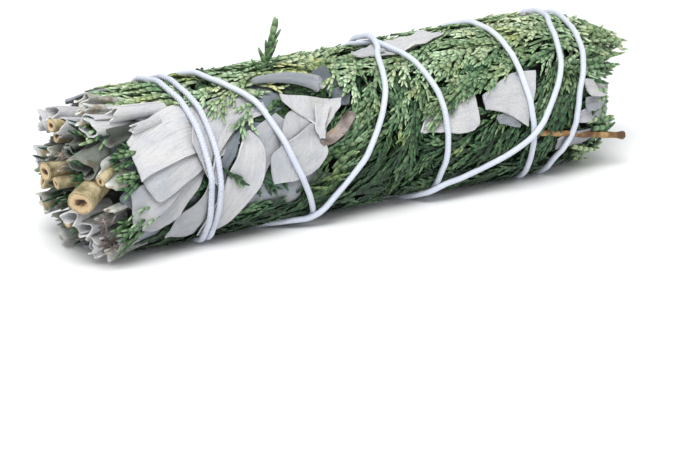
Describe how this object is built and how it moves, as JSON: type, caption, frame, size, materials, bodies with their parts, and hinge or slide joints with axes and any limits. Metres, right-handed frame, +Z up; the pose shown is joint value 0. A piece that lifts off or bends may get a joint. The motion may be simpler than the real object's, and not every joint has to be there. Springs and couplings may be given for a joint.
{
  "type": "sage bunch",
  "caption": "Tied bundle of dried white sage leaves and cedar sprigs on cut stems, wound with cotton string, lying on a surface.",
  "frame": {"origin": "on the flat that the bunch lies on, under the middle of its length and straight below its axis", "axes": "+X along the bunch from the cut stems to the leafy tips, +Z up from the surface it lies on"},
  "size_m": [0.1241, 0.0368, 0.038],
  "materials": {
    "sage": "dry, felted, pale grey with a faint lilac tone",
    "cedar": "dry scaly green, from deep green to yellow-green",
    "stem": "thin olive-tan bark, pale cut faces",
    "dry_twig": "dry orange-brown bark",
    "string": "white plied cotton"
  },
  "bodies": {
    "root": {"sage_leaves": "sage", "leaf_by_first_crossing": "sage", "leaf_rolled_near_top": "sage", "leaf_on_top": "sage", "leaf_in_middle": "sage", "leaf_by_last_crossing": "sage", "leaf_back_left": "sage", "leaf_back_middle": "sage", "leaf_back_right": "sage", "leaf_top_right": "sage", "spray_front_low": "cedar", "spray_lower_right": "cedar", "spray_middle": "cedar", "spray_top_left": "cedar", "spray_over_first_leaf": "cedar", "spray_by_first_crossing": "cedar", "spray_top_middle": "cedar", "spray_upper_right": "cedar", "spray_top_right": "cedar", "spray_above_middle": "cedar", "spray_end_front": "cedar", "spray_end_top": "cedar", "spray_band_right": "cedar", "spray_back_left": "cedar", "spray_back_middle": "cedar", "spray_back_right": "cedar", "spray_back_end": "cedar", "spray_back_top": "cedar", "stem_thick": "stem", "stem_left": "stem", "stem_upper": "stem", "stem_lower": "stem", "stem_back": "stem", "stem_back_upper": "stem", "stem_back_lower": "stem", "twig_at_tip": "dry_twig", "string": "string"}
  },
  "joints": []
}
